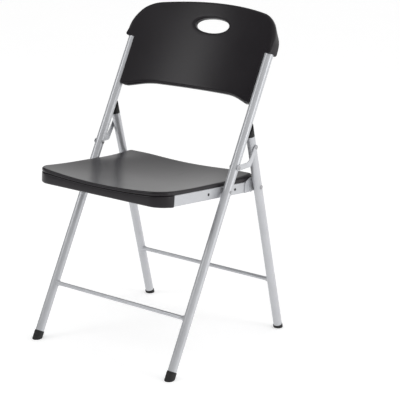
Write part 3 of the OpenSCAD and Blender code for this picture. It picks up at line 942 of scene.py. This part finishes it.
def link():
    """A flat steel link, bent below the line between its pivots."""
    start, end = local(SIDE, link_pivot), local(SIDE, link_end)
    bend = Vector((FOOT_LINE / MM + LINK_BEND[0], LINK_BEND[1]))
    a, b = Vector((start.y, start.z)), Vector((end.y, end.z))
    first, second = (bend - a).normalized(), (b - bend).normalized()
    wide, slim = LINK_WIDE / 2, LINK_SLIM / 2
    heading_a = math.degrees(math.atan2(first.y, first.x))
    heading_b = math.degrees(math.atan2(second.y, second.x))
    across_a, across_b = Vector((-first.y, first.x)), Vector((-second.y, second.x))
    outline = arc(a, wide, heading_a + 90, heading_a + 270, 20)
    outline += arc(bend, (wide + slim) / 2, heading_a - 90, heading_b - 90, 8)
    outline += arc(b, slim, heading_b - 90, heading_b + 90, 18)
    inner = bend + (across_a * wide + across_b * slim) / (1 + across_a.dot(across_b))
    soft = 14
    outline += [inner + second * soft, inner + second * soft * 0.45 - first * soft * 0.04,
                inner - first * soft * 0.45 + second * soft * 0.04, inner - first * soft]
    flat = plate(outline, LINK_X, LINK_T)
    drills = [across(rod(RIVET_HOLE, LINK_X - 5, LINK_X + 8, 32), p) for p in (start, end)]
    return cut(flat, *drills)


def head(radius, height):
    """Half profile of a domed head from its rim to its crown, seat at zero."""
    ball = (radius ** 2 + height ** 2) / (2 * height)
    reach = math.degrees(math.asin(min(1, radius / ball)))
    skirt, steps = 0.3, 8
    points = [(radius, 0), (radius, skirt * 0.6)]
    for k in range(steps + 1):
        angle = math.radians(reach * (1 - k / steps))
        points.append((ball * math.sin(angle), max(skirt, height - ball + ball * math.cos(angle))))
    points[-1] = (0, height)
    return points


def rivet(radius, low, high, head_r, head_h, tail_r=0.0, tail_h=0.0):
    """A rivet along Z: shank from low to high, a head on the high end, a tail on the low."""
    profile = [(0, low)]
    if tail_r:
        profile = [(r, low - h) for r, h in head(tail_r, tail_h)][::-1]
    profile += [(radius, low), (radius, high)]
    profile += [(r, high + h) for r, h in head(head_r, head_h)]
    return lathe(profile, 40)


def seat_pivot_rivet():
    """Its outer end is flush with the tube, so that the link can pass over it."""
    shank = lathe([(0, RAIL_IN - 2.4), (PIVOT_R + 2, RAIL_IN - 2.4), (PIVOT_R + 2, RAIL_IN - 0.1),
                   (PIVOT_R, RAIL_IN - 0.1), (PIVOT_R, OUTER_X - 0.5), (PIVOT_R - 0.5, OUTER_X - 0.05),
                   (0, OUTER_X)], 40)
    return across(shank, local(SIDE, seat_pivot))


def spacer(outer, low, high):
    """A bush round a pivot, with broken edges."""
    edge = 0.5
    return lathe([(PIVOT_HOLE, low), (outer - edge, low), (outer, low + edge), (outer, high - edge),
                  (outer - edge, high), (PIVOT_HOLE, high)], 48, loop=True)


def screw_head(radius, height):
    """A domed head with a cross recess, on a short shank, along Z with its seat at zero."""
    body = lathe([(0, -6), (SCREW_R, -6), (SCREW_R, 0)] + head(radius, height), 36)
    slots = [moved(block((-radius * 0.55, radius * 0.55), (-0.45, 0.45), (height * 0.35, height + 2)),
                   Matrix.Rotation(math.radians(angle), 4, "Z")) for angle in (20, 110)]
    for slot in slots:
        body = cut(body, slot)
    return body


def back_screws():
    """Screws behind one tube, turned towards the chair's middle."""
    backward = Matrix.Rotation(math.radians(-90), 4, "X")
    turned = Matrix.Rotation(math.radians(BACK_SCREW_TURN), 4, "Z") @ backward
    result = []
    for u in BACK_SCREWS_AT:
        place = Matrix.Translation((SIDE_X, 0, u)) @ turned @ Matrix.Translation((0, 0, BACK_SCREW_SEAT))
        result.append(moved(screw_head(*BACK_SCREW_HEAD), place))
    return joined(result)


def rail_screws():
    """Screws in the outer side of one rail."""
    return joined([across(screw_head(*RAIL_SCREW_HEAD), (0, y, RAIL_MIDDLE), x=SEAT_HALF + 0.02)
                   for y in SEAT_SCREW_AT])


def link_stud():
    """It ends just outside the leg's wall, because the model opens the linkage there."""
    return across(rivet(RIVET_R, OUTER_X + 0.3, plate_face, *LINK_HEAD), local(SIDE, link_end))


def link_rivet():
    """Through an upright, with the link under its outer head."""
    return across(rivet(RIVET_R, INNER_X - 0.1, plate_face, *LINK_HEAD, *LINK_TAIL),
                  local(SIDE, link_pivot))


def leg_pivot_rivet():
    """Through both cheeks of a bracket and the rear leg."""
    shank = rivet(PIVOT_R, RAIL_IN - BRACKET_T - 0.15, OUTER_X + 0.1, *PIVOT_HEAD, *PIVOT_TAIL)
    return across(shank, local(SIDE, leg_pivot))


def seat_spacer():
    """Between a rail and its upright."""
    return across(spacer(7, SEAT_HALF + 0.05, INNER_X - 0.1), local(SIDE, seat_pivot))


def leg_spacer():
    """Between a bracket and its rear leg."""
    return across(spacer(8, SEAT_HALF + 0.15 + BRACKET_T, INNER_X - 0.1), local(SIDE, leg_pivot))


plate_face = LINK_X + LINK_T + 0.1
pair("link", link, SIDE, SILVER, "{side}_link", bevel=0.45)
pair("link_stud", link_stud, SIDE, ZINC, "{side}_link")
piece("link_rivet_pair", both(link_rivet), SIDE, ZINC, "front_frame", ["link_rivets"])
piece("leg_pivot_rivet_pair", both(leg_pivot_rivet), SIDE, ZINC, "seat", ["leg_pivot_rivets"])
piece("seat_pivot_rivet_pair", both(seat_pivot_rivet), SIDE, ZINC, "front_frame", ["seat_pivot_rivets"])
piece("seat_spacer_pair", both(seat_spacer), SIDE, ZINC, "seat", ["seat_spacers"])
piece("leg_spacer_pair", both(leg_spacer), SIDE, ZINC, "seat", ["leg_spacers"])
piece("back_screw_set", both(back_screws), UPRIGHT, SCREW, "front_frame", ["backrest_screws"])
piece("rail_screw_set", both(rail_screws), SEAT, SCREW, "seat", ["seat_rail_screws"])


# ---- studio --------------------------------------------------------------------------------

FLOOR_GLOW = 0.45
# The world's brightness at the two ends of each ramp: upwards, from left to right, and from
# the middle to behind, and how that last one fades with height.
WORLD_UP = (0.05, 0.5)
WORLD_SIDES = (0.03, 0.45)
WORLD_BACK = (0.0, 1.15)
BACK_FALL = (1.0, 0.2)
BACKDROP = 0.93

# The camera was fitted to the photo's perspective. Metres, with Y from the uprights' feet.
CAMERA_AT = Vector((2.1735, FOOT_LINE - 2.3671, 1.3152))
CAMERA_TO = Vector((0.0922, FOOT_LINE + 0.2769, 0.3591))
CAMERA_LENS = 126.1


def studio_floor():
    """A plain pale floor with a faint even glow of its own."""
    mesh = bmesh.new()
    reach = 30
    corners = ((-1, -1), (1, -1), (1, 1), (-1, 1))
    mesh.faces.new([mesh.verts.new((x * reach, y * reach, 0)) for x, y in corners])
    data = bpy.data.meshes.new("studio_floor")
    mesh.to_mesh(data)
    mesh.free()
    floor = bpy.data.objects.new("studio_floor", data)
    bpy.context.scene.collection.objects.link(floor)
    look = Look("floor_paint", metallic=0.0, specular=0.1)
    tone = look.noise(3, 2)
    colour = look.blend(tone, (0.79, 0.79, 0.79), (0.81, 0.81, 0.81))
    look.shader.inputs["Emission Color"].default_value = (1, 1, 1, 1)
    look.shader.inputs["Emission Strength"].default_value = FLOOR_GLOW
    data.materials.append(look.finish(colour, look.spread(tone, 0.75, 0.85), look.bump(tone, 0.05, 0.1)))


def studio_world():
    """A pale room: bright low down behind, dimmer above and to the right, dark to the left."""
    world = bpy.data.worlds.new("studio")
    bpy.context.scene.world = world
    world.use_nodes = True
    nodes, links = world.node_tree.nodes, world.node_tree.links
    heading = nodes.new("ShaderNodeTexCoord")
    parts = nodes.new("ShaderNodeSeparateXYZ")
    links.new(heading.outputs["Generated"], parts.inputs["Vector"])

    def ramp(value, start, end, low, high):
        span = nodes.new("ShaderNodeMapRange")
        span.interpolation_type = "SMOOTHSTEP"
        for socket, number in (("From Min", start), ("From Max", end), ("To Min", low), ("To Max", high)):
            span.inputs[socket].default_value = number
        links.new(value, span.inputs["Value"])
        return span.outputs["Result"]

    def combined(a, b, operation="ADD"):
        node = nodes.new("ShaderNodeMath")
        node.operation = operation
        links.new(a, node.inputs[0])
        links.new(b, node.inputs[1])
        return node.outputs["Value"]

    overhead = ramp(parts.outputs["Z"], 0.1, 0.9, *WORLD_UP)
    sides = ramp(parts.outputs["X"], -0.6, 0.8, *WORLD_SIDES)
    back = ramp(parts.outputs["Y"], 0.1, 0.9, *WORLD_BACK)
    fall = ramp(parts.outputs["Z"], 0.08, 0.5, *BACK_FALL)
    strength = combined(combined(overhead, sides), combined(back, fall, "MULTIPLY"))
    seen = nodes.new("ShaderNodeMix")
    links.new(nodes.new("ShaderNodeLightPath").outputs["Is Camera Ray"], seen.inputs["Factor"])
    links.new(strength, seen.inputs[2])
    seen.inputs[3].default_value = BACKDROP
    links.new(seen.outputs[0], nodes["Background"].inputs["Strength"])
    nodes["Background"].inputs["Color"].default_value = (1, 1, 1, 1)


def soft_light(name, size, power, spot, target, mirrored=True):
    """A rectangular lamp, which the glossy parts may mirror or not."""
    data = bpy.data.lights.new(name, "AREA")
    data.shape = "RECTANGLE"
    data.size, data.size_y = size
    data.energy = power
    light = bpy.data.objects.new(name, data)
    bpy.context.scene.collection.objects.link(light)
    light.visible_glossy = mirrored
    light.location = spot
    light.rotation_euler = (Vector(target) - Vector(spot)).to_track_quat("-Z", "Y").to_euler()


def camera():
    """The photo's view of the chair."""
    data = bpy.data.cameras.new("camera")
    data.sensor_width = 36
    data.lens = CAMERA_LENS
    data.clip_end = 100
    view = bpy.data.objects.new("camera", data)
    bpy.context.scene.collection.objects.link(view)
    view.location = CAMERA_AT
    view.rotation_euler = (CAMERA_TO - CAMERA_AT).to_track_quat("-Z", "Y").to_euler()
    bpy.context.scene.camera = view


studio_floor()
studio_world()
soft_light("key", size=(1.2, 1.4), power=16, spot=(-1.9, -2.3, 2.3), target=(0, 0, 0.5))
soft_light("side", size=(0.7, 2.0), power=15, spot=(2.8, 0.6, 1.2), target=(0, 0, 0.5))
soft_light("fill", size=(1.6, 1.6), power=9, spot=(-2.4, -1.4, 1.1), target=(0, 0, 0.4),
           mirrored=False)
camera()
bpy.context.scene.view_settings.view_transform = "Standard"
